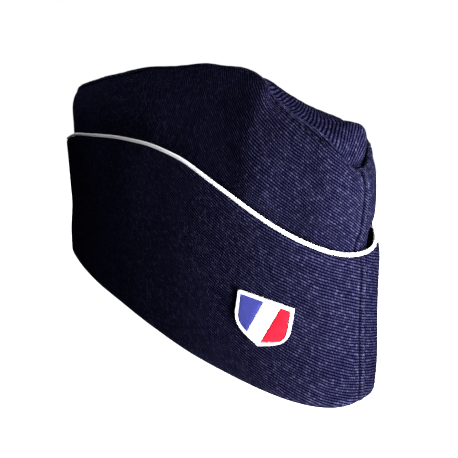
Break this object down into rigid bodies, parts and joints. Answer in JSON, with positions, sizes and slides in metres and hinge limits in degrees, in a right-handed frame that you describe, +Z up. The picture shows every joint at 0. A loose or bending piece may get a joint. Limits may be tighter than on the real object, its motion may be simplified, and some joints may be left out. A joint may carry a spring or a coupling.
{
  "type": "garrison cap",
  "caption": "Soft folding uniform cap of dark navy twill, with a turned-up curtain, white piping and a small enamel shield pin.",
  "frame": {"origin": "middle of the cap's footprint, on the plane that its rim rests on", "axes": "+X towards the front of the cap, +Y towards the wearer's left, +Z up"},
  "size_m": [0.264, 0.0782, 0.1162],
  "materials": {
    "cloth": "dark navy wool twill with fine raised diagonal ribs",
    "piping": "white wool felt over a thin cord",
    "badge_metal": "satin white enamel over metal",
    "enamel_blue": "glossy hard enamel",
    "enamel_white": "glossy hard enamel",
    "enamel_red": "glossy hard enamel",
    "pin_steel": "satin steel"
  },
  "bodies": {
    "root": {"crown_right": "cloth", "crown_left": "cloth", "crown_top": "cloth", "curtain_right": "cloth", "curtain_left": "cloth", "piping": "piping", "badge_plate": "badge_metal", "badge_blue": "enamel_blue", "badge_white": "enamel_white", "badge_red": "enamel_red", "badge_pin": "pin_steel"}
  },
  "joints": []
}
